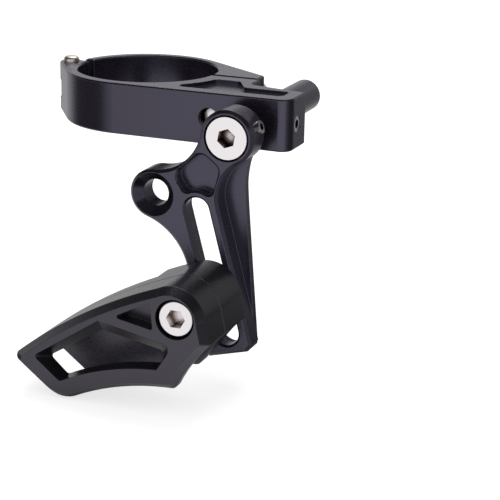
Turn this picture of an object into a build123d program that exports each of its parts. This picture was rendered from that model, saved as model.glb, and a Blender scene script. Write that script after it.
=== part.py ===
from build123d import *
import os
from math import atan2, cos, degrees, hypot, radians, sin, sqrt

# Bicycle chain guide: a hinged seat tube clamp, a sliding shaft, a slotted arm and a two-part chain cage.
# Origin in the middle of the clamp's bore: +Z up along the seat tube, -Y out of the flat front, +X along the
# block. All sizes are in millimetres. Depths named front or rear are measured from the bore's axis along -Y.

# Clamp base
tube_radius = 17.45
bore_clearance = 0.05
clamp_height = 12.4
base_wall = 2.95
block_reach = 27.8
block_end_depth = 10.5
step_reach = 12.8
step_back = 7.0
front_corner_radius = 3.0
step_fillet = 1.6
edge_break = 0.35
pocket_depth = 1.0
pocket_corner = 1.6
pocket_left_side = 2.5
pocket_rim = 3.3
pocket_front_rim = 3.5
pocket_back_rim = 1.3
pocket_gap_rim = 4.0
pocket_ring_rim = 3.7

# Hinge at the clamp's left end
hinge_offset = 3.9
knuckle_radius = 2.9
tongue_height = 4.3
tongue_clearance = 0.1
tongue_radius = 2.7
tongue_drop = 0.7
slot_mouth = 3.6
hinge_gap = 2.0
split_place = 2.0
split_clearance = 0.25
pin_radius = 1.5
pin_clearance = 0.03
pin_head_radius = 2.0
pin_head_height = 1.25
pin_head_edge = 0.9
tongue_root_angle = 17.0
tongue_root_radius = 1.1

# Hinged rear half of the clamp and its bolt
swing_wall = 2.4
clamp_gap = 1.3
gap_front = 1.1
lug_reach = 11.9
lug_end_thickness = 4.1
lug_seat_thickness = 4.0
lug_hole_clearance = 0.85
lug_pocket_clearance = 0.95
bolt_reach = 7.5
clamp_bolt_length = 22.0
thread_clearance = 0.02

# M5 socket cap screws and set screws
m5_radius = 2.5
m5_head_radius = 4.25
m5_head_height = 5.0
m5_key = 4.0
m5_key_depth = 2.6
m5_head_edge = 0.5
m5_tip_edge = 0.5
head_pocket_clearance = 0.4
head_seat_gap = 0.05
set_screw_key_depth = 1.8
set_screw_tip_edge = 0.6
set_screw_gap = 0.05

# Sliding shaft and the screw in the block's end face
shaft_radius = 4.0
shaft_clearance = 0.02
shaft_reach = 16.9
shaft_under_wall = 0.9
shaft_tail = 21.3
shaft_chamfer = 0.4
end_screw_radius = 2.0
end_screw_key = 2.0
end_screw_rise = 1.0
end_screw_recess = 0.15

# Arm
arm_gap = 4.85
arm_thickness = 7.0
boss_radius = 6.5
ear_radius = 5.9
ear_left = 18.2
ear_drop = 15.15
ear_hole_radius = 3.2
ear_sink_radius = 5.3
upper_fillet = 11.7
right_fillet = 9.5
lower_fillet = 15.7
slot_width = 6.12
slot_edge = 0.5
slot_length = 29.88
slot_top_left = 7.116
slot_top_drop = 17.809
slot_lean = 15.2
slot_lip = 3.0
groove_width = 8.2
rib_left = 6.0
rib_right = 5.5
foot_length = 5.2
foot_chamfer = 1.4
flange_thickness = 2.0
flange_top_angle = -20.0
arm_pocket_depth = 2.9
arm_pocket_corner = 2.2
arm_pocket_lobe = 1.4
arm_pocket_slot_wall = 1.7
arm_pocket_edge = 0.5
arm_edge = 0.75

# Right edge of the arm's flange, measured from the shaft: along X, then along Z
flange_edge = ((4.5, -4.3), (3.4, -7.4), (3.0, -11.5), (3.15, -14.5), (3.7, -21.6))
flange_foot = (6.1, -49.6)

# Corners of the arm's closed pocket, measured from the shaft; the low ones lie inside the wall round the slot
pocket_upper = ((-6.25, -3.76), (-1.6, -7.3))
pocket_lower = ((-4.2, -17.3), (-8.0, -17.3))
pocket_ear = (-12.87, -9.75)

# Bolt in the arm's top boss, and the set screw in its side
arm_bolt_head_radius = 5.2
arm_bolt_head_height = 2.0
arm_bolt_key_depth = 2.6
arm_bolt_radius = 3.0
arm_bolt_length = 14.0
arm_bolt_recess = 0.1
arm_bolt_edge = 0.27
arm_bolt_turn = 20.0
arm_bolt_ring = 0.25
boss_screw_radius = 1.5
boss_screw_key = 1.5
boss_screw_angle = 20.0
boss_screw_length = 3.0
boss_screw_depth = 1.95

# Chain cage
cage_along_slot = 18.98
slide_clearance = 0.1
spacer_depth = 5.8
inner_plate = 3.8
chain_gap = 9.5
outer_plate = 4.0
inner_roof = 2.3
roof_wall = 2.2
bevel_depth = 2.2
bevel_width = 1.5
hub_radius = 7.85
hub_offset_x = -1.3
hub_offset_z = -0.9
hub_arc_start = 118.0
hub_arc_sweep = -113.0
post_radius = 5.6
cage_hole_clearance = 0.08
cage_bolt_length = 25.0
cage_bolt_recess = 0.6
inner_plate_inset = 3.15
seam_width = 0.4
seam_depth = 0.2
right_corner_radius = 0.8
low_right_radius = 1.8
inner_low_right_radius = 1.6
low_left_radius = 7.8
tip_radius = 1.6
window_left_radius = 0.8
window_low_radius = 0.9
window_right_radius = 1.8
small_window_corner = 0.5
small_window_depth = 3.6
small_window_wall = 1.1

# Outline of the cage, its windows and its foot, measured from the cage bolt: along X, then along Z
outline_tip = (-41.9, -15.5)
outline_top = (-24.2, -3.0)
outline_right = (7.7, -5.6)
outline_right_waist = (3.4, -10.5)
outline_low_right = (-0.5, -17.2)
outline_bottom = (-14.4, -19.0)
outline_low_left = (-29.3, -25.0)
inner_low_right = (4.0, -15.0)
inner_bottom = (-14.4, -18.2)
roof_end = (-38.5, -15.6)
window_front = ((-28.8, -19.3), (-35.5, -14.0), (-18.7, -2.9), (-0.4, -6.4), (-4.3, -12.5))
window_front_arch = (-18.3, -15.0)
window_rear = ((-28.5, -18.8), (-33.0, -14.8), (-19.5, -6.5), (-3.4, -9.4), (-5.0, -12.2))
window_rear_arch = (-18.3, -14.7)
small_window = ((-15.1, -1.5), (-5.9, 3.3), (-5.3, -3.3))
spacer_outline = ((-12.0, 10.0), (12.0, 10.0), (12.0, -13.0), (0.0, -13.0), (-8.0, -8.5), (-12.0, -3.0))

# Nut in the groove behind the slot
nut_length = 7.8
nut_side_clearance = 0.1
nut_thickness = 3.2

# Places worked out from the sizes above
bore_radius = tube_radius + bore_clearance
base_outer = bore_radius + base_wall
swing_outer = bore_radius + swing_wall
half_height = clamp_height / 2
block_end = bore_radius + block_reach
pocket_left = sqrt(
    (bore_radius + pocket_ring_rim) ** 2 - (base_outer - pocket_front_rim - pocket_left_side) ** 2
)
step_place = bore_radius + step_reach
lug_end = bore_radius + lug_reach
bolt_place = bore_radius + bolt_reach
shaft_x = bore_radius + shaft_reach
shaft_z = -half_height + shaft_under_wall + shaft_radius
end_screw_z = shaft_z + end_screw_rise
ear_x = shaft_x - ear_left
ear_z = shaft_z - ear_drop
slot_top_x = shaft_x - slot_top_left
slot_top_z = shaft_z - slot_top_drop
hinge_x = -(bore_radius + hinge_offset)
slot_height = tongue_height + 2 * tongue_clearance
block_back_end = -base_outer + block_end_depth
base_gap_y = -gap_front
lug_gap_y = base_gap_y + clamp_gap
bolt_seat_y = lug_gap_y + lug_seat_thickness
arm_rear = base_outer + arm_gap
arm_front = arm_rear + arm_thickness
arm_bolt_seat = arm_front - arm_bolt_recess - arm_bolt_head_height
slot_x = sin(radians(slot_lean))
slot_z = -cos(radians(slot_lean))
cage_x = slot_top_x + cage_along_slot * slot_x
cage_z = slot_top_z + cage_along_slot * slot_z
cage_rear = arm_front + slide_clearance
inner_plate_rear = cage_rear + spacer_depth
inner_plate_front = inner_plate_rear + inner_plate
cage_seam = inner_plate_front + inner_roof
outer_plate_rear = inner_plate_front + chain_gap
cage_front = outer_plate_rear + outer_plate
cage_bolt_seat = cage_front - cage_bolt_recess - m5_head_height
small_floor_rear = cage_front - small_window_depth - small_window_wall
nut_front = arm_front - slot_lip - slide_clearance
far = 4 * base_outer


def slot_point(along, across):
    """Point of the arm's plane, measured down the slot from its top centre and to the right of its middle."""
    return (
        slot_top_x + along * slot_x - across * slot_z,
        slot_top_z + along * slot_z + across * slot_x,
    )


def cage_point(place):
    """Point of the cage's plane that is given from the cage bolt."""
    return (cage_x + place[0], cage_z + place[1])


def tangent_centre(first, first_radius, second, second_radius, radius):
    """Centre of the arc that touches two circles from outside, on the left going from first to second."""
    reach_first = first_radius + radius
    reach_second = second_radius + radius
    span = hypot(second[0] - first[0], second[1] - first[1])
    along_x = (second[0] - first[0]) / span
    along_z = (second[1] - first[1]) / span
    along = (span**2 + reach_first**2 - reach_second**2) / (2 * span)
    aside = sqrt(reach_first**2 - along**2)
    return (first[0] + along * along_x - aside * along_z, first[1] + along * along_z + aside * along_x)


def slot_side_centre(boss, reach, across):
    """Place down the slot of the arc centre that lies across from its middle and reach away from a boss."""
    beside = slot_point(0, across)
    offset_x = beside[0] - boss[0]
    offset_z = beside[1] - boss[1]
    along = offset_x * slot_x + offset_z * slot_z
    return -along + sqrt(along**2 - offset_x**2 - offset_z**2 + reach**2)


def cap_screw(seat, length):
    """M5 socket cap screw: the seat plane is under the head and faces out of it."""
    with BuildPart(seat) as screw:
        Cylinder(m5_head_radius, m5_head_height, align=(Align.CENTER, Align.CENTER, Align.MIN))
        top_rim = screw.edges().filter_by(GeomType.CIRCLE).sort_by(Axis(seat.origin, seat.z_dir))[-1]
        fillet(top_rim, m5_head_edge)
        Cylinder(m5_radius, length, align=(Align.CENTER, Align.CENTER, Align.MAX))
        tip_rim = screw.edges().filter_by(GeomType.CIRCLE).sort_by(Axis(seat.origin, seat.z_dir))[0]
        chamfer(tip_rim, m5_tip_edge)
        with BuildSketch(seat.offset(m5_head_height)):
            RegularPolygon(m5_key / 2, 6, major_radius=False)
        extrude(amount=-m5_key_depth, mode=Mode.SUBTRACT)
    return screw.part


def set_screw(mouth, radius, length, key):
    """Set screw: the mouth plane is its socket end and faces out."""
    with BuildPart(mouth) as screw:
        Cylinder(radius, length, align=(Align.CENTER, Align.CENTER, Align.MAX))
        rims = screw.edges().filter_by(GeomType.CIRCLE).sort_by(Axis(mouth.origin, mouth.z_dir))
        chamfer(rims[0], set_screw_tip_edge)
        with BuildSketch(mouth):
            RegularPolygon(key / 2, 6, major_radius=False)
        extrude(amount=-set_screw_key_depth, mode=Mode.SUBTRACT)
    return screw.part


# Closed outline shared by the cage's two plates
cage_tip = cage_point(outline_tip)
cage_right = cage_point(outline_right)
cage_low_right = cage_point(outline_low_right)
cage_low_left = cage_point(outline_low_left)
cage_corners = (
    (cage_right, right_corner_radius),
    (cage_low_right, low_right_radius),
    (cage_low_left, low_left_radius),
    (cage_tip, tip_radius),
)
with BuildSketch() as sharp_outline:
    with BuildLine():
        hub = cage_point((hub_offset_x, hub_offset_z))
        round_top = CenterArc(hub, hub_radius, hub_arc_start, hub_arc_sweep)
        ThreePointArc(cage_tip, cage_point(outline_top), round_top @ 0)
        Line(round_top @ 1, cage_right)
        ThreePointArc(cage_right, cage_point(outline_right_waist), cage_low_right)
        ThreePointArc(cage_low_right, cage_point(outline_bottom), cage_low_left)
        Line(cage_low_left, cage_tip)
    make_face()
with BuildSketch() as cage_outline:
    add(sharp_outline.sketch)
    for corner, radius in cage_corners:
        fillet(cage_outline.vertices().sort_by_distance(corner)[0], radius)
with BuildSketch() as inner_outline:
    add(sharp_outline.sketch)
    fillet(inner_outline.vertices().sort_by_distance(cage_right)[0], right_corner_radius)
    fillet(inner_outline.vertices().sort_by_distance(cage_tip)[0], tip_radius)
    with BuildLine():
        low_edge = ThreePointArc(cage_point(inner_low_right), cage_point(inner_bottom), cage_low_left)
        Polyline(
            low_edge @ 1,
            (cage_low_left[0], cage_low_left[1] - far),
            (cage_right[0] + far, cage_low_left[1] - far),
            low_edge @ 0,
        )
    make_face(mode=Mode.SUBTRACT)
    fillet(inner_outline.vertices().sort_by_distance(cage_low_right)[0], inner_low_right_radius)

# Band along the lower left edge that the inner half does not have
with BuildSketch() as inner_trim:
    edge_length = hypot(cage_tip[0] - cage_low_left[0], cage_tip[1] - cage_low_left[1])
    edge_x = (cage_tip[0] - cage_low_left[0]) / edge_length
    edge_z = (cage_tip[1] - cage_low_left[1]) / edge_length
    inset_x = edge_z * inner_plate_inset
    inset_z = -edge_x * inner_plate_inset
    with BuildLine():
        Polyline(
            (cage_low_left[0] - far * edge_x - inset_x, cage_low_left[1] - far * edge_z - inset_z),
            (cage_tip[0] + far * edge_x - inset_x, cage_tip[1] + far * edge_z - inset_z),
            (cage_tip[0] + far * edge_x + inset_x, cage_tip[1] + far * edge_z + inset_z),
            (cage_low_left[0] - far * edge_x + inset_x, cage_low_left[1] - far * edge_z + inset_z),
            close=True,
        )
    make_face()

# Section of the cage's roof and right wall: the outline without the space that the chain runs in
with BuildSketch() as chain_space:
    add(cage_outline.sketch)
    offset(amount=-roof_wall, mode=Mode.REPLACE)
    roof_tip = cage_point(roof_end)
    with BuildLine():
        Polyline(
            roof_tip,
            (cage_right[0] - roof_wall, cage_right[1]),
            (cage_right[0] + roof_wall, cage_right[1]),
            (cage_right[0] + roof_wall, cage_right[1] - far),
            (roof_tip[0] - far, cage_right[1] - far),
            (roof_tip[0] - far, roof_tip[1] - roof_wall),
            close=True,
        )
    make_face()
with BuildSketch() as cage_roof:
    add(cage_outline.sketch)
    add(chain_space.sketch, mode=Mode.SUBTRACT)
    with Locations((cage_x, cage_z)):
        Circle(post_radius)

# Walls round the small window, from the outer plate back to its floor
with BuildSketch() as small_opening:
    with BuildLine():
        Polyline(*[cage_point(place) for place in small_window], close=True)
    make_face()
    fillet(small_opening.vertices(), small_window_corner)
with BuildSketch() as small_walls:
    add(small_opening.sketch)
    offset(amount=small_window_wall, mode=Mode.REPLACE)

# Section of the roof along the seam, where the two halves leave a fine groove
with BuildSketch() as seam_section:
    add(cage_outline.sketch)
    offset(amount=-seam_depth, mode=Mode.REPLACE)
    add(cage_roof.sketch, mode=Mode.INTERSECT)

# Clamp base
with BuildPart() as clamp_base:
    with BuildSketch(Plane.XY.offset(-half_height)):
        with BuildSketch(mode=Mode.PRIVATE) as ring:
            Circle(base_outer)
            with Locations((hinge_x, 0)):
                Circle(knuckle_radius)
            make_hull()
        add(ring.sketch)
        with BuildLine():
            Polyline(
                (0, -base_outer),
                (block_end, -base_outer),
                (block_end, block_back_end),
                (step_place, -step_back),
                (step_place, base_gap_y),
                (0, base_gap_y),
                close=True,
            )
        make_face()
        with Locations((0, base_gap_y)):
            Rectangle(far, far, align=(Align.MIN, Align.MIN), mode=Mode.SUBTRACT)
        with Locations((0, split_place)):
            Rectangle(far, far, align=(Align.MAX, Align.MIN), mode=Mode.SUBTRACT)
        with Locations((hinge_x, 0)):
            Circle(knuckle_radius)
        Circle(bore_radius, mode=Mode.SUBTRACT)
    extrude(amount=clamp_height)

    upright = clamp_base.edges().filter_by(Axis.Z)
    fillet(upright.sort_by_distance((block_end, -base_outer, 0))[0], front_corner_radius)
    upright = clamp_base.edges().filter_by(Axis.Z)
    fillet(upright.sort_by_distance((step_place, -step_back, 0))[0], step_fillet)

    # Top pocket, a rim's width inside the block's outline
    with BuildSketch(Plane.XY.offset(half_height)):
        with BuildLine():
            Polyline(
                (pocket_left, -base_outer + pocket_front_rim),
                (block_end - pocket_rim, -base_outer + pocket_front_rim),
                (block_end - pocket_rim, block_back_end - pocket_back_rim),
                (step_place, block_back_end - pocket_back_rim),
                (step_place - pocket_rim, base_gap_y - pocket_gap_rim),
                (pocket_left, base_gap_y - pocket_gap_rim),
                close=True,
            )
        make_face()
        Circle(bore_radius + pocket_ring_rim, mode=Mode.SUBTRACT)
        fillet(vertices(), pocket_corner)
    extrude(amount=-pocket_depth, mode=Mode.SUBTRACT)

    # Slot in the hinge ear for the tongue
    with BuildSketch(Plane.XY.offset(-slot_height / 2 - tongue_drop)):
        with Locations((hinge_x, 0)):
            Circle(knuckle_radius + tongue_clearance)
        with Locations((hinge_x - 2 * knuckle_radius, 0)):
            Rectangle(
                hinge_offset + 3 * knuckle_radius, 2 * knuckle_radius, align=(Align.MIN, Align.MIN)
            )
            Rectangle(2 * knuckle_radius, slot_mouth, align=(Align.MIN, Align.MAX))
    extrude(amount=slot_height, mode=Mode.SUBTRACT)
    with Locations((hinge_x, 0, 0)):
        Cylinder(pin_radius, 2 * clamp_height, mode=Mode.SUBTRACT)

    # Threaded hole for the clamp bolt, shaft bore and the hole for its set screw
    with Locations(Plane((bolt_place, 0, 0), z_dir=(0, 1, 0))):
        Cylinder(m5_radius + thread_clearance, far, mode=Mode.SUBTRACT)
    with Locations(Plane((shaft_x, 0, shaft_z), z_dir=(0, 1, 0))):
        Cylinder(shaft_radius + shaft_clearance, far, mode=Mode.SUBTRACT)
    end_screw_y = (block_back_end - base_outer) / 2
    with Locations(Plane((block_end, end_screw_y, end_screw_z), z_dir=(-1, 0, 0))):
        Cylinder(
            end_screw_radius,
            block_end - shaft_x,
            align=(Align.CENTER, Align.CENTER, Align.MIN),
            mode=Mode.SUBTRACT,
        )

    rims = clamp_base.faces().filter_by(Axis.Z)
    top_face = rims.group_by(Axis.Z)[-1].sort_by(SortBy.AREA)[-1]
    low_face = rims.group_by(Axis.Z)[0].sort_by(SortBy.AREA)[-1]
    chamfer(top_face.outer_wire().edges() + low_face.outer_wire().edges(), edge_break)
clamp_base.part.label = "clamp_base"

# Hinged rear half of the clamp
with BuildPart() as swing_arm:
    with BuildSketch(Plane.XY.offset(-half_height)):
        Circle(swing_outer)
        lug_corner = (lug_end, lug_gap_y + lug_end_thickness)
        reach = hypot(*lug_corner)
        tangent = sqrt(reach**2 - swing_outer**2)
        touch_x = swing_outer * (swing_outer * lug_corner[0] - tangent * lug_corner[1]) / reach**2
        touch_y = swing_outer * (swing_outer * lug_corner[1] + tangent * lug_corner[0]) / reach**2
        with BuildLine():
            Polyline(
                (0, lug_gap_y), (lug_end, lug_gap_y), lug_corner, (touch_x, touch_y), (0, touch_y), close=True
            )
        make_face()
        Circle(bore_radius, mode=Mode.SUBTRACT)
        with Locations((0, lug_gap_y)):
            Rectangle(far, far, align=(Align.MIN, Align.MAX), mode=Mode.SUBTRACT)
        with Locations((0, split_place + hinge_gap)):
            Rectangle(far, far, align=(Align.MAX, Align.MAX), mode=Mode.SUBTRACT)
        with Locations((hinge_x, 0)):
            Circle(knuckle_radius + split_clearance, mode=Mode.SUBTRACT)
    extrude(amount=clamp_height)

    # Tongue that turns on the pin
    with BuildSketch(Plane.XY.offset(-tongue_height / 2 - tongue_drop)):
        with BuildSketch(mode=Mode.PRIVATE) as tongue:
            with Locations((hinge_x, 0)):
                Circle(tongue_radius)
            root_x = -(bore_radius + swing_wall / 2)
            root_turn = radians(tongue_root_angle)
            with Locations((root_x * cos(root_turn), -root_x * sin(root_turn))):
                Circle(tongue_root_radius)
            make_hull()
        add(tongue.sketch)
        with Locations((hinge_x, 0)):
            Circle(pin_radius + pin_clearance, mode=Mode.SUBTRACT)
        Circle(bore_radius, mode=Mode.SUBTRACT)
    extrude(amount=tongue_height)

    # Bolt hole through the lug and the seat cut for the bolt's head
    with Locations(Plane((bolt_place, 0, 0), z_dir=(0, 1, 0))):
        Cylinder(m5_radius + lug_hole_clearance, far, mode=Mode.SUBTRACT)
    with Locations(Plane((bolt_place, bolt_seat_y - head_seat_gap, 0), z_dir=(0, 1, 0))):
        Cylinder(
            m5_head_radius + lug_pocket_clearance,
            swing_outer,
            align=(Align.CENTER, Align.CENTER, Align.MIN),
            mode=Mode.SUBTRACT,
        )
    rims = swing_arm.faces().filter_by(Axis.Z)
    top_face = rims.group_by(Axis.Z)[-1].sort_by(SortBy.AREA)[-1]
    low_face = rims.group_by(Axis.Z)[0].sort_by(SortBy.AREA)[-1]
    chamfer(top_face.outer_wire().edges() + low_face.outer_wire().edges(), edge_break)
swing_arm.part.label = "swing_arm"

# Hinge pin with a domed head on top
with BuildPart(Plane((hinge_x, 0, half_height))) as hinge_pin:
    Cylinder(pin_radius, clamp_height - edge_break, align=(Align.CENTER, Align.CENTER, Align.MAX))
    Cylinder(pin_head_radius, pin_head_height, align=(Align.CENTER, Align.CENTER, Align.MIN))
    head_rim = hinge_pin.edges().filter_by(GeomType.CIRCLE).sort_by(Axis.Z)[-1]
    fillet(head_rim, pin_head_edge)
hinge_pin.part.label = "hinge_pin"

# Clamp bolt, from behind through the lug
clamp_bolt = cap_screw(Plane((bolt_place, bolt_seat_y, 0), z_dir=(0, 1, 0)), clamp_bolt_length)
clamp_bolt.label = "clamp_bolt"

# Sliding shaft, with a threaded hole in its front end for the arm bolt
with BuildPart(Plane((shaft_x, -arm_bolt_seat, shaft_z), x_dir=(1, 0, 0), z_dir=(0, 1, 0))) as slide_shaft:
    Cylinder(shaft_radius, arm_bolt_seat + shaft_tail, align=(Align.CENTER, Align.CENTER, Align.MIN))
    chamfer(slide_shaft.edges().filter_by(GeomType.CIRCLE), shaft_chamfer)
    Cylinder(
        arm_bolt_radius,
        arm_bolt_length + 2 * arm_bolt_recess,
        align=(Align.CENTER, Align.CENTER, Align.MIN),
        mode=Mode.SUBTRACT,
    )
slide_shaft.part.label = "slide_shaft"

# Set screw in the block's end face, against the shaft
end_screw_tip = shaft_x + shaft_radius + set_screw_gap
end_screw_mouth = block_end - end_screw_recess
shaft_set_screw = set_screw(
    Plane((end_screw_mouth, end_screw_y, end_screw_z), z_dir=(1, 0, 0)),
    end_screw_radius,
    end_screw_mouth - end_screw_tip,
    end_screw_key,
)
shaft_set_screw.label = "shaft_set_screw"

# Arm
boss = (shaft_x, shaft_z)
ear = (ear_x, ear_z)
upper_centre = tangent_centre(ear, ear_radius, boss, boss_radius, upper_fillet)
right_along = slot_side_centre(boss, boss_radius + right_fillet, rib_right + right_fillet)
lower_along = slot_side_centre(ear, ear_radius + lower_fillet, -rib_left - lower_fillet)
right_centre = slot_point(right_along, rib_right + right_fillet)
lower_centre = slot_point(lower_along, -rib_left - lower_fillet)
foot = slot_length + foot_length
toe = slot_point(foot, rib_right - foot_chamfer)
flange_turn = radians(flange_top_angle)
flange_top = (shaft_x + boss_radius * cos(flange_turn), shaft_z + boss_radius * sin(flange_turn))
flange_side = [(shaft_x + place[0], shaft_z + place[1]) for place in flange_edge]
heel = (shaft_x + flange_foot[0], shaft_z + flange_foot[1])
flange_run = (heel[0] - flange_side[-1][0], heel[1] - flange_side[-1][1])
with BuildPart() as guide_arm:
    with BuildSketch(Plane.XZ.offset(arm_rear)):
        with BuildLine():
            Polyline(
                boss,
                upper_centre,
                ear,
                lower_centre,
                slot_point(lower_along, -rib_left),
                slot_point(right_along, rib_right),
                right_centre,
                close=True,
            )
        make_face()
        with Locations(upper_centre):
            Circle(upper_fillet, mode=Mode.SUBTRACT)
        with Locations(right_centre):
            Circle(right_fillet, mode=Mode.SUBTRACT)
        with Locations(lower_centre):
            Circle(lower_fillet, mode=Mode.SUBTRACT)
        with Locations(boss):
            Circle(boss_radius)
        with Locations(ear):
            Circle(ear_radius)
        with BuildLine():
            Polyline(
                slot_point(lower_along, -rib_left),
                slot_point(right_along, rib_right),
                slot_point(foot - foot_chamfer, rib_right),
                toe,
                slot_point(foot, -rib_left),
                close=True,
            )
        make_face()
    extrude(amount=arm_thickness)
    front_face = guide_arm.faces().sort_by(Axis.Y)[0]
    chamfer(front_face.outer_wire().edges(), arm_edge)

    # Thin flange along the right side, flush with the arm's back, with the foot cut back to its edge
    with BuildSketch(Plane.XZ.offset(arm_rear)):
        with BuildLine():
            Polyline(
                flange_side[-1],
                heel,
                toe,
                slot_point(foot + far, 0),
                (heel[0] + far, heel[1]),
                (flange_side[-1][0] + far, flange_side[-1][1]),
                close=True,
            )
        make_face()
    extrude(amount=flange_thickness, mode=Mode.SUBTRACT)
    with BuildSketch(Plane.XZ.offset(arm_rear)):
        with BuildLine():
            flange_start = (sin(flange_turn), -cos(flange_turn))
            flange_curve = Spline(flange_top, *flange_side, tangents=(flange_start, flange_run))
            Polyline(
                flange_curve @ 1, heel, toe, slot_point(foot, 0), slot_point(right_along, 0), boss, flange_top
            )
        make_face()
    extrude(amount=flange_thickness)

    # Shaft bore with the counterbore for the arm bolt, and the countersunk hole of the ear
    with Locations(Plane((shaft_x, -arm_rear, shaft_z), z_dir=(0, -1, 0))):
        Cylinder(shaft_radius + shaft_clearance, 3 * arm_thickness, mode=Mode.SUBTRACT)
    with Locations(Plane((shaft_x, -arm_bolt_seat + head_seat_gap, shaft_z), z_dir=(0, -1, 0))):
        Cylinder(
            arm_bolt_head_radius + arm_bolt_ring,
            arm_thickness,
            align=(Align.CENTER, Align.CENTER, Align.MIN),
            mode=Mode.SUBTRACT,
        )
    with Locations(Plane((ear_x, -arm_front, ear_z), z_dir=(0, -1, 0))):
        CounterSinkHole(ear_hole_radius, ear_sink_radius, depth=2 * arm_thickness, counter_sink_angle=90)

    # Long slot, with a wider groove behind it that keeps the nut from turning
    slot_middle = slot_point(slot_length / 2, 0)
    with BuildSketch(Plane.XZ.offset(arm_rear)):
        with Locations(slot_middle):
            SlotCenterToCenter(slot_length, slot_width, rotation=slot_lean - 90)
    extrude(amount=arm_thickness, mode=Mode.SUBTRACT)
    rim_middle = Vector(slot_middle[0], -arm_front, slot_middle[1])
    front_face = guide_arm.faces().sort_by(Axis.Y)[0]
    slot_rim = front_face.inner_wires().sort_by(lambda wire: (wire.center() - rim_middle).length)[0]
    chamfer(slot_rim.edges(), slot_edge)
    with BuildSketch(Plane.XZ.offset(arm_rear)):
        with Locations(slot_middle):
            SlotCenterToCenter(slot_length, groove_width, rotation=slot_lean - 90)
    extrude(amount=arm_thickness - slot_lip, mode=Mode.SUBTRACT)

    # Closed pocket between the bosses
    with BuildSketch(Plane.XZ.offset(arm_front)) as pocket_outline:
        with BuildLine():
            pocket_places = (*pocket_upper, *pocket_lower, pocket_ear)
            Polyline(*[(shaft_x + place[0], shaft_z + place[1]) for place in pocket_places], close=True)
        make_face()
        with Locations(slot_point(0, 0)):
            Circle(slot_width / 2 + arm_pocket_slot_wall, mode=Mode.SUBTRACT)
        upper_corners = vertices().sort_by_distance(slot_point(0, 0))[2:]
        fillet(upper_corners, arm_pocket_corner)
        lobes = vertices().sort_by_distance(slot_point(0, 0))[:2]
        fillet(lobes, arm_pocket_lobe)
    extrude(amount=-arm_pocket_depth, mode=Mode.SUBTRACT)
    with BuildSketch(Plane.XZ.offset(arm_front)):
        add(pocket_outline.sketch)
        offset(amount=arm_pocket_edge, mode=Mode.REPLACE)
    extrude(amount=-arm_pocket_edge, taper=45, mode=Mode.SUBTRACT)

    # Radial hole for the set screw in the top boss
    screw_out = Vector(cos(radians(boss_screw_angle)), 0, sin(radians(boss_screw_angle)))
    screw_root = Vector(shaft_x, -arm_rear - boss_screw_depth, shaft_z)
    with Locations(Plane(screw_root, z_dir=screw_out)):
        Cylinder(
            boss_screw_radius,
            2 * boss_radius,
            align=(Align.CENTER, Align.CENTER, Align.MIN),
            mode=Mode.SUBTRACT,
        )
guide_arm.part.label = "guide_arm"

# Set screw in the side of the top boss
boss_screw_tip = shaft_radius + shaft_clearance + set_screw_gap
boss_set_screw = set_screw(
    Plane(screw_root + screw_out * (boss_screw_tip + boss_screw_length), z_dir=screw_out),
    boss_screw_radius,
    boss_screw_length,
    boss_screw_key,
)
boss_set_screw.label = "boss_set_screw"

# Flat bolt in the top boss, screwed into the shaft
with BuildPart(Plane((shaft_x, -arm_bolt_seat, shaft_z), x_dir=(1, 0, 0), z_dir=(0, -1, 0))) as arm_bolt:
    Cylinder(arm_bolt_head_radius, arm_bolt_head_height, align=(Align.CENTER, Align.CENTER, Align.MIN))
    chamfer(arm_bolt.edges().filter_by(GeomType.CIRCLE).sort_by(Axis.Y)[0], arm_bolt_edge)
    Cylinder(arm_bolt_radius, arm_bolt_length, align=(Align.CENTER, Align.CENTER, Align.MAX))
    with BuildSketch(Plane.XZ.offset(arm_front - arm_bolt_recess)):
        with Locations((shaft_x, shaft_z)):
            RegularPolygon(m5_key / 2, 6, major_radius=False, rotation=arm_bolt_turn)
    extrude(amount=-arm_bolt_key_depth, mode=Mode.SUBTRACT)
arm_bolt.part.label = "arm_bolt"

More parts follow.
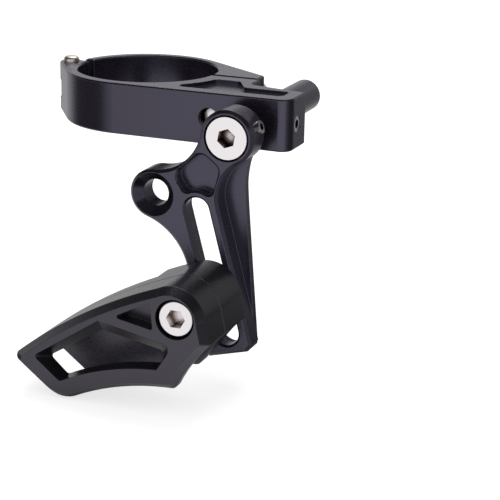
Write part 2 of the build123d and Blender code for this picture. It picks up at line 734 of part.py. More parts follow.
# Outer half of the cage: bevelled plate, roof as far as the seam, and the post round the bolt
with BuildPart() as cage_outer:
    with BuildSketch(Plane.XZ.offset(outer_plate_rear)):
        add(sharp_outline.sketch)
    extrude(amount=outer_plate - bevel_depth)
    with BuildSketch(Plane.XZ.offset(cage_front - bevel_depth)):
        add(sharp_outline.sketch)
    extrude(amount=bevel_depth, taper=degrees(atan2(bevel_width, bevel_depth)))
    for corner, radius in cage_corners:
        bevel_foot = Vector(corner[0], bevel_depth - cage_front, corner[1])
        meeting = [edge for edge in cage_outer.edges() if edge.distance_to(bevel_foot) < edge_break / 100]
        fillet([edge for edge in meeting if abs(edge.tangent_at(0.5).Y) > 0.5], radius)
    with BuildSketch(Plane.XZ.offset(cage_seam + seam_width / 2)):
        add(cage_roof.sketch)
    extrude(amount=outer_plate_rear - cage_seam - seam_width / 2)
    with BuildSketch(Plane.XZ.offset(cage_seam)):
        add(seam_section.sketch)
    extrude(amount=seam_width / 2)
    with BuildSketch(Plane.XZ.offset(small_floor_rear)):
        add(small_walls.sketch)
    extrude(amount=outer_plate_rear - small_floor_rear)

    # Big window with sloping walls
    with BuildSketch(Plane.XZ.offset(cage_front)):
        with BuildLine():
            sides = Polyline(*[cage_point(place) for place in window_front])
            ThreePointArc(sides @ 1, cage_point(window_front_arch), sides @ 0)
        make_face()
    with BuildSketch(Plane.XZ.offset(outer_plate_rear)):
        with BuildLine():
            sides = Polyline(*[cage_point(place) for place in window_rear])
            ThreePointArc(sides @ 1, cage_point(window_rear_arch), sides @ 0)
        make_face()
    loft(ruled=True, mode=Mode.SUBTRACT)
    rounded = ((0, window_low_radius), (1, window_left_radius), (3, window_right_radius))
    for number, radius in rounded:
        mouth = cage_point(window_front[number])
        mouth_corner = Vector(mouth[0], -cage_front, mouth[1])
        meeting = [edge for edge in cage_outer.edges() if edge.distance_to(mouth_corner) < edge_break / 100]
        fillet([edge for edge in meeting if abs(edge.tangent_at(0.5).Y) > 0.5], radius)

    # Small three-cornered window, closed by a floor
    with BuildSketch(Plane.XZ.offset(cage_front)):
        add(small_opening.sketch)
    extrude(amount=-small_window_depth, mode=Mode.SUBTRACT)

    # Bolt hole and counterbore
    with Locations(Plane((cage_x, -cage_bolt_seat + head_seat_gap, cage_z), z_dir=(0, -1, 0))):
        Cylinder(m5_radius + cage_hole_clearance, far, mode=Mode.SUBTRACT)
        Cylinder(
            m5_head_radius + head_pocket_clearance,
            outer_plate + m5_head_height,
            align=(Align.CENTER, Align.CENTER, Align.MIN),
            mode=Mode.SUBTRACT,
        )
cage_outer.part.label = "cage_outer"

# Inner half of the cage: shorter plate, the rest of the roof, and the foot that rests on the arm
with BuildPart() as cage_inner:
    with BuildSketch(Plane.XZ.offset(inner_plate_rear)):
        add(inner_outline.sketch)
        add(inner_trim.sketch, mode=Mode.SUBTRACT)
    extrude(amount=inner_plate)
    with BuildSketch(Plane.XZ.offset(inner_plate_front)):
        add(cage_roof.sketch)
        add(inner_trim.sketch, mode=Mode.SUBTRACT)
    extrude(amount=inner_roof - seam_width / 2)
    with BuildSketch(Plane.XZ.offset(cage_seam - seam_width / 2)):
        add(seam_section.sketch)
        add(inner_trim.sketch, mode=Mode.SUBTRACT)
    extrude(amount=seam_width / 2)
    with BuildSketch(Plane.XZ.offset(cage_rear)):
        add(inner_outline.sketch)
        with BuildLine():
            Polyline(*[cage_point(place) for place in spacer_outline], close=True)
        make_face(mode=Mode.INTERSECT)
    extrude(amount=spacer_depth)
    with Locations(Plane((cage_x, -cage_rear, cage_z), z_dir=(0, -1, 0))):
        Cylinder(m5_radius + cage_hole_clearance, far, mode=Mode.SUBTRACT)
cage_inner.part.label = "cage_inner"

# Cage bolt and its nut in the groove behind the slot
cage_bolt = cap_screw(
    Plane((cage_x, -cage_bolt_seat, cage_z), x_dir=(1, 0, 0), z_dir=(0, -1, 0)), cage_bolt_length
)
cage_bolt.label = "cage_bolt"

with BuildPart() as slot_nut:
    with BuildSketch(Plane.XZ.offset(nut_front)):
        with Locations((cage_x, cage_z)):
            Rectangle(nut_length, groove_width - 2 * nut_side_clearance, rotation=slot_lean - 90)
            Circle(m5_radius, mode=Mode.SUBTRACT)
    extrude(amount=-nut_thickness)
slot_nut.part.label = "slot_nut"

os.makedirs("parts", exist_ok=True)
export_step(clamp_base.part, "parts/clamp_base.step")
export_step(swing_arm.part, "parts/swing_arm.step")
export_step(hinge_pin.part, "parts/hinge_pin.step")
export_step(clamp_bolt, "parts/clamp_bolt.step")
export_step(slide_shaft.part, "parts/slide_shaft.step")
export_step(shaft_set_screw, "parts/shaft_set_screw.step")
export_step(guide_arm.part, "parts/guide_arm.step")
export_step(boss_set_screw, "parts/boss_set_screw.step")
export_step(arm_bolt.part, "parts/arm_bolt.step")
export_step(cage_outer.part, "parts/cage_outer.step")
export_step(cage_inner.part, "parts/cage_inner.step")
export_step(cage_bolt, "parts/cage_bolt.step")
export_step(slot_nut.part, "parts/slot_nut.step")
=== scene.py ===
# %% [markdown]
# # A bicycle chain guide
# The guide hangs on a bicycle's seat tube and keeps the chain on its ring. A hinged clamp holds a sliding
# shaft, the shaft carries a slotted arm, and the arm carries a plastic cage that the chain runs through.
# The solids come from the CAD model. This lesson gives them their finishes, adds the threads and the
# knurled heads of the screws, and lights and frames the part as a studio picture does.

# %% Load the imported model
from math import cos, pi, radians, sin

import bmesh
import bpy
from mathutils import Matrix, Vector


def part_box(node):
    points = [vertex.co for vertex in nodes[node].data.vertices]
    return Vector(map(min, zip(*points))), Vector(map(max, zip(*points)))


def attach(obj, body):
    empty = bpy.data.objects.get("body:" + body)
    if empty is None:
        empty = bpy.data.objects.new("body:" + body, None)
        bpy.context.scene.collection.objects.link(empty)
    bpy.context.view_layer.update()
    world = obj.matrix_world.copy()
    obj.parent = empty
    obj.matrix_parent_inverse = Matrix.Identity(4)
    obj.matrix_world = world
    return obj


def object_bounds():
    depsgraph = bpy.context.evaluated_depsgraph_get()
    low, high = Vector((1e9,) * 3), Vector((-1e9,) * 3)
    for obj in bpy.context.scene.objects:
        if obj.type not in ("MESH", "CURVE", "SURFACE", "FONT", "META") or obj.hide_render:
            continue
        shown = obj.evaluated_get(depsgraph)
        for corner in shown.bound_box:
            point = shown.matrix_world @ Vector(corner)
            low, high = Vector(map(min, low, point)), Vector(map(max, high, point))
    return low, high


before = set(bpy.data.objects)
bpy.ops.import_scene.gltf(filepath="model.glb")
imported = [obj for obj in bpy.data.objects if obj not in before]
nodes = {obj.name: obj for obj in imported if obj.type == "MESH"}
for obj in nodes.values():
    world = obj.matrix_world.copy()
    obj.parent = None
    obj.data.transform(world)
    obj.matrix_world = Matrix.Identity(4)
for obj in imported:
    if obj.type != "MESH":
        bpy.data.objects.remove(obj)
cad_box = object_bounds()
MM = 0.001
print("nodes:", ", ".join(sorted(nodes)))

# %% [markdown]
# ## The camera
# The picture was taken with a long lens from a little above and from the right of the flat front. A camera
# can be aimed with a constraint, but its roll would then be fixed. Here the three directions of its view
# are worked out from azimuth, elevation and roll and written into its matrix.

# %% Camera at the picture's angle
AZIMUTH = radians(21.20)
ELEVATION = radians(17.44)
ROLL = radians(1.17)
DISTANCE = 402.08 * MM
TARGET = Vector((28.26, 0.0, -37.61)) * MM
LENS = 115.08  # millimetres, as the camera's own settings are
SENSOR_WIDTH = 36.0
NEAREST = 10 * MM

level = Vector((cos(AZIMUTH), sin(AZIMUTH), 0.0))
ahead = Vector((-sin(AZIMUTH) * cos(ELEVATION), cos(AZIMUTH) * cos(ELEVATION), -sin(ELEVATION)))
above = level.cross(ahead)
right = cos(ROLL) * level + sin(ROLL) * above
up = -sin(ROLL) * level + cos(ROLL) * above

camera_data = bpy.data.cameras.new("studio_camera")
camera_data.lens = LENS
camera_data.sensor_width = SENSOR_WIDTH
camera_data.clip_start = NEAREST
camera = bpy.data.objects.new("studio_camera", camera_data)
turned = Matrix((right, up, -ahead)).transposed().to_4x4()
camera.matrix_world = Matrix.Translation(TARGET - ahead * DISTANCE) @ turned
bpy.context.scene.collection.objects.link(camera)
bpy.context.scene.camera = camera
print("camera at", [round(v / MM, 1) for v in camera.matrix_world.translation], "mm")

# %% [markdown]
# ## Colours and nodes
# Colours are written as the hex values that an eye sees on a screen. Blender's shaders work with linear
# light, so one function turns the first into the second. A second function adds a node, sets it and links
# it, so that every material below reads as a short list.

# %% Helpers for colours and nodes


def linear(hex_colour):
    """Turns an sRGB hex colour into linear red, green, blue and full alpha."""
    values = [int(hex_colour[i : i + 2], 16) / 255 for i in (1, 3, 5)]
    return [v / 12.92 if v <= 0.04045 else ((v + 0.055) / 1.055) ** 2.4 for v in values] + [1.0]


def add_node(tree, kind, settings=None, inputs=None, links=None, stops=()):
    """Adds a node.

    Settings are its own properties, inputs its values, links the sockets that feed it, and stops the
    positions and hex colours of a ramp.
    """
    node = tree.nodes.new(kind)
    for name, value in (settings or {}).items():
        setattr(node, name, value)
    for name, value in (inputs or {}).items():
        node.inputs[name].default_value = value
    for name, source in (links or {}).items():
        tree.links.new(source, node.inputs[name])
    if stops:
        elements = node.color_ramp.elements
        while len(elements) < len(stops):
            elements.new(1.0)
        for element, (position, colour) in zip(elements, stops):
            element.position = position
            element.color = linear(colour)
    return node


def new_material(name):
    """Makes an empty node material and returns it with its tree."""
    material = bpy.data.materials.new(name)
    material.use_nodes = True
    material.node_tree.nodes.clear()
    return material, material.node_tree


def dress(material, *names):
    """Puts one material on whole CAD nodes."""
    for name in names:
        slots = nodes[name].data.materials
        slots.clear()
        slots.append(material)
    print(material.name, "on", ", ".join(names))


# %% [markdown]
# ## Edges that catch the light
# No real edge is perfectly sharp. Tumbling, blasting and handling round it a little, and the rounding shows
# as a fine light line. A modelled fillet on every edge would cost many faces, so the Bevel node rounds the
# shading instead. Where its normal leaves the face's own, there is an edge, and that gives a mask for a
# lighter edge colour: partly real wear, partly a painted highlight, on hollow edges as well as outer ones.

# %% Helper for worn edges with a painted highlight
EDGE_ROUNDING = 0.2 * MM
EDGE_SAMPLES = 6
# the edge colour under this mask is part wear, part painted highlight
FLAT = 1.0  # the two normals agree on a flat face
WORN_AND_HIGHLIT = 0.9  # and differ by about 25 degrees where an edge is worn most


def worn_and_highlit_edges(tree):
    """Adds rounded edges and returns their normal and a mask that is 1 on an edge and 0 on a flat face."""
    rounded = add_node(tree, "ShaderNodeBevel", {"samples": EDGE_SAMPLES}, {"Radius": EDGE_ROUNDING})
    face = add_node(tree, "ShaderNodeNewGeometry")
    agree = add_node(
        tree,
        "ShaderNodeVectorMath",
        {"operation": "DOT_PRODUCT"},
        links={0: rounded.outputs["Normal"], 1: face.outputs["True Normal"]},
    )
    mask = add_node(
        tree,
        "ShaderNodeMapRange",
        inputs={"From Min": FLAT, "From Max": WORN_AND_HIGHLIT, "To Min": 0.0, "To Max": 1.0},
        links={"Value": agree.outputs["Value"]},
    )
    return rounded.outputs["Normal"], mask.outputs["Result"]


# %% [markdown]
# ## Grained black surfaces
# The aluminium and the nylon are both black with a fine grain, one from blasting and one from its mould. On
# such a surface the same grain makes the small dents, the small changes of gloss and the specks of colour,
# so one noise should drive all three. This helper ends such a material once its grain and its colour are
# there.

# %% Helper for grained surfaces


def finish_grained(tree, grain, colour, worn_and_highlight_colour, gloss, relief, gleam):
    """Adds worn edges with a painted highlight, gloss and relief that follow the grain, and the shader with
    its fixed gleam.
    """
    normal, edge = worn_and_highlit_edges(tree)
    # edges get a lighter colour: part wear of the finish, part painted highlight
    worn_and_highlit = add_node(
        tree,
        "ShaderNodeMix",
        {"data_type": "RGBA"},
        {"B": linear(worn_and_highlight_colour)},
        {"Factor": edge, "A": colour},
    )
    sheen = add_node(tree, "ShaderNodeMapRange", inputs=gloss, links={"Value": grain})
    bump = add_node(tree, "ShaderNodeBump", inputs=relief, links={"Height": grain, "Normal": normal})
    shader = add_node(
        tree,
        "ShaderNodeBsdfPrincipled",
        inputs=gleam,
        links={
            "Base Color": worn_and_highlit.outputs["Result"],
            "Roughness": sheen.outputs["Result"],
            "Normal": bump.outputs["Normal"],
        },
    )
    add_node(tree, "ShaderNodeOutputMaterial", links={"Surface": shader.outputs["BSDF"]})


# %% [markdown]
# ## Black anodised aluminium
# The clamp, the shaft and the arm are milled from aluminium, blasted with fine beads and anodised black.
# The oxide is a clear hard layer over a dyed one, so a face is dark when seen squarely, with a violet cast
# from the dye, and turns pale when seen at a low angle. That is how a rough dielectric behaves, so the
# shader isn't metallic. The violet goes into the specular tint, because that fades at low angles as it does
# on the real part.

# %% Black anodised aluminium
BLAST_GRAIN = 0.35 * MM  # the real grain is near 0.1 mm; this is the finest that shows at this size
BLAST_NOISE = {"Scale": 1 / BLAST_GRAIN, "Detail": 3.0, "Roughness": 0.6}
BLAST_RELIEF = {"Strength": 0.3, "Distance": 0.04 * MM}
DYE = ((0.35, "#141216"), (0.7, "#211E25"))
# colour of rubbed edges, lighter also as a painted highlight
RUBBED_AND_HIGHLIT_OXIDE = "#5A5661"
OXIDE_GLOSS = {"To Min": 0.17, "To Max": 0.33}
OXIDE_IOR = 1.9  # alumina has 1.77; the part is a little shinier
OXIDE_GLEAM = {"IOR": OXIDE_IOR, "Specular Tint": linear("#E4DCFF")}

anodised, tree = new_material("black_anodised_aluminium")
place = add_node(tree, "ShaderNodeTexCoord")
grain = add_node(tree, "ShaderNodeTexNoise", inputs=BLAST_NOISE, links={"Vector": place.outputs["Object"]})
blasting = grain.outputs["Fac"]
dye = add_node(tree, "ShaderNodeValToRGB", links={"Fac": blasting}, stops=DYE)
finish_grained(tree, blasting, dye.outputs["Color"], RUBBED_AND_HIGHLIT_OXIDE, OXIDE_GLOSS, BLAST_RELIEF, OXIDE_GLEAM)
dress(anodised, "clamp_base", "swing_arm", "guide_arm", "slide_shaft")

# %% [markdown]
# ## Black nylon
# The cage's halves are moulded in glass-filled nylon. The mould was spark-eroded, which leaves a fine
# pebbled grain on the flat faces, and the glass makes the surface a little shinier than plain nylon. The
# inner half's face towards the chain is painted greyer, with light flecks in its grain: painted light that
# lifts a face whose reflections are mostly blocked by the outer plate. A mask could be painted there, but a
# face's own direction already tells which one it is.

# %% Black moulded nylon
MOULD_GRAIN = 0.45 * MM  # coarser than the real grain, so that it shows
MOULD_NOISE = {"Scale": 1 / MOULD_GRAIN, "Detail": 4.0, "Roughness": 0.65}
MOULD_RELIEF = {"Strength": 0.25, "Distance": 0.05 * MM}
NYLON_TONE = ((0.3, "#161518"), (0.75, "#212024"))
# colour of rubbed edges, lighter also as a painted highlight
RUBBED_AND_HIGHLIT_NYLON = "#403E43"
NYLON_GLOSS = {"To Min": 0.22, "To Max": 0.36}
NYLON_IOR = 1.73  # plain nylon has 1.53; the glass in it and the fine mould make it shinier
NYLON_GLEAM = {"IOR": NYLON_IOR, "Specular Tint": linear("#F2ECFF")}
TO_CHAIN = (0.0, -1.0, 0.0)  # the way the inner half's face looks
FACING = 0.9  # cosine within which a face counts as turned that way


def moulded_nylon(name, lit_fleck_colour):
    """Makes nylon with flecks of a colour, a painted lightening, on the faces that look to the front."""
    material, tree = new_material(name)
    place = add_node(tree, "ShaderNodeTexCoord")
    grain = add_node(
        tree, "ShaderNodeTexNoise", inputs=MOULD_NOISE, links={"Vector": place.outputs["Object"]}
    )
    pebbles = grain.outputs["Fac"]
    tone = add_node(tree, "ShaderNodeValToRGB", links={"Fac": pebbles}, stops=NYLON_TONE)
    face = add_node(tree, "ShaderNodeNewGeometry")
    turned = add_node(
        tree,
        "ShaderNodeVectorMath",
        {"operation": "DOT_PRODUCT"},
        {1: TO_CHAIN},
        {0: face.outputs["True Normal"]},
    )
    inside = add_node(
        tree, "ShaderNodeMath", {"operation": "GREATER_THAN"}, {1: FACING}, {0: turned.outputs["Value"]}
    )
    # light flecks on the faces that look to the front are painted light
    painted_light_flecks = add_node(
        tree, "ShaderNodeMath", {"operation": "MULTIPLY"}, links={0: inside.outputs["Value"], 1: pebbles}
    )
    lightened = add_node(
        tree,
        "ShaderNodeMix",
        {"data_type": "RGBA"},
        {"B": linear(lit_fleck_colour)},
        {"Factor": painted_light_flecks.outputs["Value"], "A": tone.outputs["Color"]},
    )
    colour = lightened.outputs["Result"]
    finish_grained(tree, pebbles, colour, RUBBED_AND_HIGHLIT_NYLON, NYLON_GLOSS, MOULD_RELIEF, NYLON_GLEAM)
    return material


dress(moulded_nylon("black_moulded_nylon", "#212024"), "cage_outer")
# the inner half's front faces get light flecks as painted light
dress(moulded_nylon("black_textured_nylon", "#68646E"), "cage_inner")

# %% [markdown]
# ## Bare metal
# The screws and the pin are bare metal. Turning or tumbling leaves marks that change the gloss a little
# from place to place, and a metallic shader takes its colour from what the metal reflects. This helper ends
# such a material.

# %% Helper for bare metal


def finish_metal(tree, marks, colour, gloss):
    """Adds gloss that follows the marks, and a metallic shader with a colour."""
    sheen = add_node(tree, "ShaderNodeMapRange", inputs=gloss, links={"Value": marks})
    shader = add_node(
        tree,
        "ShaderNodeBsdfPrincipled",
        inputs={"Metallic": 1.0},
        links={"Base Color": colour, "Roughness": sheen.outputs["Result"]},
    )
    add_node(tree, "ShaderNodeOutputMaterial", links={"Surface": shader.outputs["BSDF"]})


# %% [markdown]
# ## Stainless steel
# The screws and the nut are turned stainless steel with a satin face. Their sockets were broached, and
# they are painted brown and dark as painted shade. Ambient occlusion finds such deep places, because little
# of the sky is seen from them, and it works on any screw without a drawn mask. The big bolt in the arm has
# a darker set of stops, a deeper painted shade in its socket.

# %% Satin stainless steel
TURNING = 0.3 * MM  # spacing of the tool marks, drawn coarser than real so that they show
TURNING_NOISE = {"Scale": 1 / TURNING, "Detail": 2.0}
STEEL_GLOSS = {"To Min": 0.18, "To Max": 0.28}
SOCKET_REACH = 2.5 * MM  # as deep as the screws' sockets
SHADE_SAMPLES = 8
SHADED_SOCKET = ((0.15, "#382B25"), (0.45, "#8C7B73"), (0.75, "#EEEAEC"))
DEEP_SHADED_SOCKET = ((0.3, "#1E1513"), (0.6, "#5A4438"), (0.8, "#F4F0F2"))


def stainless(name, socket_shade_stops):
    """Makes stainless steel whose colour, a painted shade, goes from the bottom of a socket, at 0, to the
    open face, at 1.
    """
    material, tree = new_material(name)
    place = add_node(tree, "ShaderNodeTexCoord")
    marks = add_node(
        tree, "ShaderNodeTexNoise", inputs=TURNING_NOISE, links={"Vector": place.outputs["Object"]}
    )
    # ambient occlusion paints shade, dark and brown, into the sockets
    depth = add_node(
        tree, "ShaderNodeAmbientOcclusion", {"samples": SHADE_SAMPLES}, {"Distance": SOCKET_REACH}
    )
    colour = add_node(tree, "ShaderNodeValToRGB", links={"Fac": depth.outputs["AO"]}, stops=socket_shade_stops)
    finish_metal(tree, marks.outputs["Fac"], colour.outputs["Color"], STEEL_GLOSS)
    return material


steel = stainless("satin_stainless_steel", SHADED_SOCKET)
deep_shaded_steel = stainless("stainless_steel_deep_socket_shade", DEEP_SHADED_SOCKET)
dress(steel, "clamp_bolt", "shaft_set_screw", "boss_set_screw", "cage_bolt", "slot_nut")
dress(deep_shaded_steel, "arm_bolt")

# %% [markdown]
# ## Nickel-plated pin
# The hinge's pin is steel with a thin bright nickel plate, which is a little warmer than stainless steel.
# Tumbling leaves soft patches in the plate, so a broad noise gives both its colour and its gloss.

# %% Nickel-plated steel
PLATE_MOTTLE = 0.6 * MM  # patches of the plate, as a worn tumbled rivet shows them
PLATE_NOISE = {"Scale": 1 / PLATE_MOTTLE, "Detail": 2.0}
PLATE_TONE = ((0.35, "#E6DAD2"), (0.65, "#FFF6EF"))
PLATE_GLOSS = {"To Min": 0.3, "To Max": 0.45}

nickel, tree = new_material("nickel_plated_steel")
place = add_node(tree, "ShaderNodeTexCoord")
mottle = add_node(tree, "ShaderNodeTexNoise", inputs=PLATE_NOISE, links={"Vector": place.outputs["Object"]})
plate = add_node(tree, "ShaderNodeValToRGB", links={"Fac": mottle.outputs["Fac"]}, stops=PLATE_TONE)
finish_metal(tree, mottle.outputs["Fac"], plate.outputs["Color"], PLATE_GLOSS)
dress(nickel, "hinge_pin")

# %% [markdown]
# ## Screw threads
# A rolled thread is one ridge that climbs round the shank. Stacked rings would look much the same, but a
# spiral is what it is, so Geometry Nodes draw one: a spiral curve with a small round profile swept along
# it. The sizes are inputs of the tree, so the two M5 screws share it.

# %% Node group for a thread
TURN_STEPS = 24
RIDGE_SIDES = 6


def new_shape_tree(name, lengths):
    """Makes a geometry tree with an input for each length and one output, and returns it."""
    tree = bpy.data.node_groups.new(name, "GeometryNodeTree")
    for length in lengths:
        tree.interface.new_socket(length, in_out="INPUT", socket_type="NodeSocketFloat")
    tree.interface.new_socket("Geometry", in_out="OUTPUT", socket_type="NodeSocketGeometry")
    return tree


def finish_in_steel(tree, shape):
    """Ends a geometry tree: its instances become real faces and get the steel."""
    whole = add_node(tree, "GeometryNodeRealizeInstances", links={"Geometry": shape})
    steeled = add_node(
        tree,
        "GeometryNodeSetMaterial",
        inputs={"Material": steel},
        links={"Geometry": whole.outputs["Geometry"]},
    )
    add_node(tree, "NodeGroupOutput", links={"Geometry": steeled.outputs["Geometry"]})
    print(tree.name, "has", len(tree.nodes), "nodes")


thread_tree = new_shape_tree("screw_thread", ("Radius", "Ridge", "Turns", "Length"))
sizes = add_node(thread_tree, "NodeGroupInput")
spiral = add_node(
    thread_tree,
    "GeometryNodeCurveSpiral",
    inputs={"Resolution": TURN_STEPS},
    links={
        "Rotations": sizes.outputs["Turns"],
        "Start Radius": sizes.outputs["Radius"],
        "End Radius": sizes.outputs["Radius"],
        "Height": sizes.outputs["Length"],
    },
)
profile = add_node(
    thread_tree,
    "GeometryNodeCurvePrimitiveCircle",
    inputs={"Resolution": RIDGE_SIDES},
    links={"Radius": sizes.outputs["Ridge"]},
)
swept = add_node(
    thread_tree,
    "GeometryNodeCurveToMesh",
    inputs={"Fill Caps": True},
    links={"Curve": spiral.outputs["Curve"], "Profile Curve": profile.outputs["Curve"]},
)
finish_in_steel(thread_tree, swept.outputs["Mesh"])

# %% [markdown]
# ## Knurled heads
# A socket cap screw has a knurl round its head, so that fingers can turn it. It is one small rib many times
# round, which is what instances on the points of a circle give.

# %% Node group for a knurl
RIB_SIDES = 6

knurl_tree = new_shape_tree("head_knurl", ("Radius", "Ridge", "Length"))
knurl_tree.interface.new_socket("Ribs", in_out="INPUT", socket_type="NodeSocketInt")
sizes = add_node(knurl_tree, "NodeGroupInput")
ring = add_node(
    knurl_tree,
    "GeometryNodeMeshCircle",
    links={"Vertices": sizes.outputs["Ribs"], "Radius": sizes.outputs["Radius"]},
)
rib = add_node(
    knurl_tree,
    "GeometryNodeMeshCylinder",
    inputs={"Vertices": RIB_SIDES},
    links={"Radius": sizes.outputs["Ridge"], "Depth": sizes.outputs["Length"]},
)
ribs = add_node(
    knurl_tree,
    "GeometryNodeInstanceOnPoints",
    links={"Points": ring.outputs["Mesh"], "Instance": rib.outputs["Mesh"]},
)
finish_in_steel(knurl_tree, ribs.outputs["Instances"])

# %% [markdown]
# ## From trees to pieces
# A tree's result lives in a modifier. The export keeps plain meshes only, so each result is turned into a
# mesh, moved to its screw, and set to ride on the body that the screw belongs to. The object that carried
# the modifier is removed, and the modifier with it.

# %% Helper that bakes a tree into a piece


def bake(name, tree, values, place, body):
    """Runs a tree, keeps its result as a plain steel piece at a place, and lets it ride on a body."""
    carrier = bpy.data.objects.new(name + "_carrier", bpy.data.meshes.new(name + "_carrier"))
    bpy.context.scene.collection.objects.link(carrier)
    modifier = carrier.modifiers.new("tree", "NODES")
    modifier.node_group = tree
    for item in tree.interface.items_tree:
        if item.name in values:
            modifier[item.identifier] = values[item.name]
    evaluated = carrier.evaluated_get(bpy.context.evaluated_depsgraph_get())
    mesh = bpy.data.meshes.new_from_object(evaluated)
    mesh.name = name
    mesh.transform(place)
    bpy.data.objects.remove(carrier)
    shape = bmesh.new()
    shape.from_mesh(mesh)
    bmesh.ops.recalc_face_normals(shape, faces=shape.faces)
    shape.to_mesh(mesh)
    shape.free()
    piece = bpy.data.objects.new(name, mesh)
    bpy.context.scene.collection.objects.link(piece)
    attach(piece, body)
    print(name, "rides on", body, "with", len(mesh.polygons), "faces")


# %% [markdown]
# ## Threads and knurls of the two cap screws
# Both screws lie along Y, one with its head in front and one with its head behind. A thread shows only
# where the shank is bare: in the arm's slot behind the cage, and in the gap of the clamp and the hole of
# its lug.

# %% Threads and knurls
PITCH = 0.8 * MM  # M5 coarse thread
CREST = 0.11 * MM  # how far a ridge stands proud of the shank
SHANK = 2.5 * MM  # radius of an M5 screw
TIP = 0.6 * MM  # bare end of a shank
HEAD_HEIGHT = 5.0 * MM
KNURL_RIBS = 44
KNURL_REACH = 3.4 * MM
KNURL_FOOT = 0.4 * MM  # plain band between the knurl and the head's seat


def along_y(node, start):
    """Place on a screw's axis at a distance along Y, with Z turned to point along +Y."""
    low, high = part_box(node)
    turn = Matrix.Rotation(-pi / 2, 4, "X")
    return Matrix.Translation(Vector(((low.x + high.x) / 2, start, (low.z + high.z) / 2))) @ turn


def thread(name, node, start, end, body):
    """A thread on a screw's shank from one place along Y to another."""
    length = end - start
    values = {"Radius": SHANK, "Ridge": CREST, "Turns": length / PITCH, "Length": length}
    bake(name, thread_tree, values, along_y(node, start), body)


def knurl(name, node, foot, body):
    """A knurl on a screw's head; foot is where the knurl's lower end lies along Y."""
    low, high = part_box(node)
    radius = (high.x - low.x) / 2
    values = {"Radius": radius, "Ridge": CREST, "Length": KNURL_REACH, "Ribs": KNURL_RIBS}
    bake(name, knurl_tree, values, along_y(node, foot + KNURL_REACH / 2), body)


cage_head, cage_tip = (corner.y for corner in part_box("cage_bolt"))
clamp_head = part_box("clamp_bolt")[1].y
arm_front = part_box("guide_arm")[0].y
lug_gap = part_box("swing_arm")[0].y
lug_seat = clamp_head - HEAD_HEIGHT
thread("cage_bolt_thread", "cage_bolt", arm_front + TIP, cage_tip - TIP, "slot_bolt")
thread("clamp_bolt_thread", "clamp_bolt", lug_gap, lug_seat - TIP, "clamp_screw")
knurl("cage_bolt_knurl", "cage_bolt", cage_head + HEAD_HEIGHT - KNURL_FOOT - KNURL_REACH, "slot_bolt")
knurl("clamp_bolt_knurl", "clamp_bolt", lug_seat + KNURL_FOOT, "clamp_screw")

# %% [markdown]
# ## What the part reflects
# A black part is drawn by its reflections. In the studio the paper is bright in front of the part and
# behind it, while dark cards at the left and the right keep its sides dark, and the room above is dim.
# Cards could be modelled, but only reflections need them, so one function gives the brightness that a
# reflection finds in a direction, and the floor and the world both use it. A ramp gives the cards, from
# left to right, and a second factor makes the paper behind the part dimmer than the paper in front of it.
# No value is brighter than white.

# %% Helpers for the studio's brightness
CARDS = (
    (0.00, "#606060"),
    (0.045, "#606060"),
    (0.12, "#FFFFFF"),
    (0.76, "#FFFFFF"),
    (0.83, "#A0A0A0"),
    (0.90, "#949494"),
    (0.97, "#585858"),
    (1.00, "#505050"),
)
FRONT_LEVEL = 1.0  # white paper in front of the part
REAR_LEVEL = 0.66  # and dimmer paper behind it
LEVEL_PLANE = (1.0, 1.0, 0.0)  # takes the height out of a direction
forward = Vector((ahead.x, ahead.y, 0.0)).normalized()


def studio_level(tree, direction):
    """Brightness by direction: the ramp goes from the left of the camera's view to its right."""
    flat = add_node(
        tree, "ShaderNodeVectorMath", {"operation": "MULTIPLY"}, {1: LEVEL_PLANE}, {0: direction}
    )
    unit = add_node(
        tree, "ShaderNodeVectorMath", {"operation": "NORMALIZE"}, links={0: flat.outputs["Vector"]}
    )
    side = add_node(
        tree, "ShaderNodeVectorMath", {"operation": "DOT_PRODUCT"}, {1: level}, {0: unit.outputs["Vector"]}
    )
    share = add_node(
        tree, "ShaderNodeMapRange", inputs={"From Min": -1.0}, links={"Value": side.outputs["Value"]}
    )
    cards = add_node(tree, "ShaderNodeValToRGB", links={"Fac": share.outputs["Result"]}, stops=CARDS)
    depth = add_node(
        tree, "ShaderNodeVectorMath", {"operation": "DOT_PRODUCT"}, {1: forward}, {0: unit.outputs["Vector"]}
    )
    paper_level = add_node(
        tree,
        "ShaderNodeMapRange",
        inputs={"From Min": -1.0, "To Min": FRONT_LEVEL, "To Max": REAR_LEVEL},
        links={"Value": depth.outputs["Value"]},
    )
    found = add_node(
        tree,
        "ShaderNodeMath",
        {"operation": "MULTIPLY"},
        links={0: cards.outputs["Color"], 1: paper_level.outputs["Result"]},
    )
    return found.outputs["Value"]


def sort_rays(tree):
    """Returns two sockets: 1 for rays from the camera, and 1 for rays from a reflection or through glass."""
    ray = add_node(tree, "ShaderNodeLightPath")
    mirrored = add_node(
        tree,
        "ShaderNodeMath",
        {"operation": "MAXIMUM"},
        links={0: ray.outputs["Is Glossy Ray"], 1: ray.outputs["Is Transmission Ray"]},
    )
    return ray.outputs["Is Camera Ray"], mirrored.outputs["Value"]


# %% [markdown]
# ## Floor
# The floor is one sheet of paper under the part. A curved sweep would show its bend in other views, so it
# is flat and reaches far past the picture.

# %% Floor
REACH = 3.0  # metres each way, out of every view
low, high = cad_box
middle = (low + high) / 2
floor_mesh = bpy.data.meshes.new("studio_floor")
corners = [(-REACH, -REACH, low.z), (REACH, -REACH, low.z), (REACH, REACH, low.z), (-REACH, REACH, low.z)]
floor_mesh.from_pydata(corners, [], [(0, 1, 2, 3)])
floor = bpy.data.objects.new("studio_floor", floor_mesh)
bpy.context.scene.collection.objects.link(floor)
print("floor at", round(low.z / MM, 2), "mm")

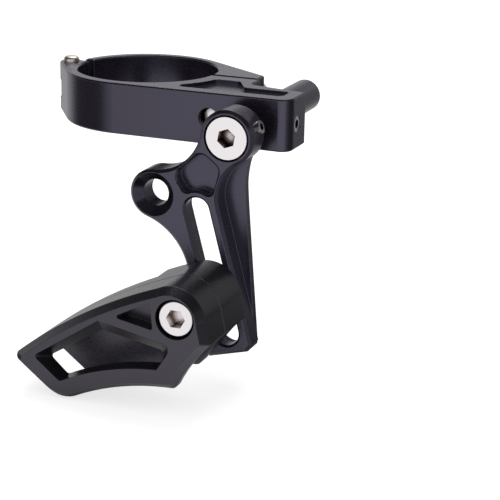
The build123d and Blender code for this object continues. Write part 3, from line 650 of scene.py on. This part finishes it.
# %% [markdown]
# ## White paper
# The paper takes the lamp's light and the part's shadow, and adds a steady glow for the camera, so that the
# open paper comes out white without more light on the part. Reflections find the studio's brightness
# instead, which ambient occlusion dims under the part, where real paper is shaded.

# %% White paper
WHITE = (1.0, 1.0, 1.0, 1.0)
PAPER_COLOUR = "#C0C0C0"
PAPER_GLOW = 0.72  # what lit paper of that colour lacks to come out white
SHADE_REACH = 40 * MM  # how far from the part its shade on the paper reaches

paper, tree = new_material("white_paper")
from_camera, mirrored = sort_rays(tree)
steady = add_node(tree, "ShaderNodeMath", {"operation": "MULTIPLY"}, {1: PAPER_GLOW}, {0: from_camera})
glow = add_node(
    tree, "ShaderNodeEmission", inputs={"Color": WHITE}, links={"Strength": steady.outputs["Value"]}
)
dull = add_node(tree, "ShaderNodeBsdfDiffuse", inputs={"Color": linear(PAPER_COLOUR)})
sheet = add_node(tree, "ShaderNodeAddShader", links={0: dull.outputs["BSDF"], 1: glow.outputs["Emission"]})
place = add_node(tree, "ShaderNodeTexCoord")
direction = add_node(
    tree, "ShaderNodeVectorMath", {"operation": "SUBTRACT"}, {1: middle}, {0: place.outputs["Object"]}
)
shade = add_node(tree, "ShaderNodeAmbientOcclusion", {"samples": SHADE_SAMPLES}, {"Distance": SHADE_REACH})
open_level = add_node(
    tree,
    "ShaderNodeMath",
    {"operation": "MULTIPLY"},
    links={0: shade.outputs["AO"], 1: studio_level(tree, direction.outputs["Vector"])},
)
reflection = add_node(
    tree, "ShaderNodeEmission", inputs={"Color": WHITE}, links={"Strength": open_level.outputs["Value"]}
)
lit = add_node(
    tree,
    "ShaderNodeMixShader",
    links={0: mirrored, 1: sheet.outputs["Shader"], 2: reflection.outputs["Emission"]},
)
add_node(tree, "ShaderNodeOutputMaterial", links={"Surface": lit.outputs["Shader"]})
floor_mesh.materials.append(paper)
print(paper.name, "has", len(tree.nodes), "nodes")

# %% [markdown]
# ## World
# The world is white to the camera. Reflections find the paper sweep near the horizon, between the cards,
# and the dim room higher up. For diffuse light it is one plain level.

# %% World
FILL = 0.65  # level of the diffuse light
SWEEP_TOP = 0.33  # height on the unit sphere up to which the paper sweep reaches
ROOM_FROM = 0.43  # height from which there is only the room
ROOM_LEVEL = 0.06
world = bpy.data.worlds.new("studio_world")
world.use_nodes = True
bpy.context.scene.world = world
tree = world.node_tree
tree.nodes.clear()
from_camera, mirrored = sort_rays(tree)
place = add_node(tree, "ShaderNodeTexCoord")
parts = add_node(tree, "ShaderNodeSeparateXYZ", links={0: place.outputs["Generated"]})
height = add_node(
    tree,
    "ShaderNodeMapRange",
    inputs={"From Min": SWEEP_TOP, "From Max": ROOM_FROM, "To Min": 1.0, "To Max": ROOM_LEVEL},
    links={"Value": parts.outputs["Z"]},
)
reflected = add_node(
    tree,
    "ShaderNodeMath",
    {"operation": "MULTIPLY"},
    links={0: height.outputs["Result"], 1: studio_level(tree, place.outputs["Generated"])},
)
behind = add_node(
    tree,
    "ShaderNodeMix",
    {"data_type": "FLOAT"},
    {"A": FILL},
    {"Factor": mirrored, "B": reflected.outputs["Value"]},
)
strength = add_node(
    tree,
    "ShaderNodeMix",
    {"data_type": "FLOAT"},
    {"B": 1.0},
    {"Factor": from_camera, "A": behind.outputs["Result"]},
)
sky = add_node(
    tree, "ShaderNodeBackground", inputs={"Color": WHITE}, links={"Strength": strength.outputs["Result"]}
)
add_node(tree, "ShaderNodeOutputWorld", links={"Surface": sky.outputs["Background"]})
print(world.name, "has", len(tree.nodes), "nodes")

# %% [markdown]
# ## Lamp
# One large softbox hangs above the part and behind it. Its light falls on the floor around the part and
# leaves a soft shadow under the cage and in front of it.

# %% Lamp
SOFTBOX_OFFSET = Vector((-0.05, 0.25, 0.5))  # metres from the middle of the part
SOFTBOX_SIZE = 0.4
SOFTBOX_POWER = 1.5  # watts

lamp = bpy.data.lights.new("overhead_softbox", "AREA")
lamp.size = SOFTBOX_SIZE
lamp.energy = SOFTBOX_POWER
softbox = bpy.data.objects.new("overhead_softbox", lamp)
aim = (-SOFTBOX_OFFSET).to_track_quat("-Z", "Y").to_matrix().to_4x4()
softbox.matrix_world = Matrix.Translation(middle + SOFTBOX_OFFSET) @ aim
bpy.context.scene.collection.objects.link(softbox)
print(softbox.name, "of", SOFTBOX_POWER, "W")

# %% [markdown]
# ## View
# The Standard view transform shows a colour as it is written.

# %% View settings
bpy.context.scene.view_settings.view_transform = "Standard"
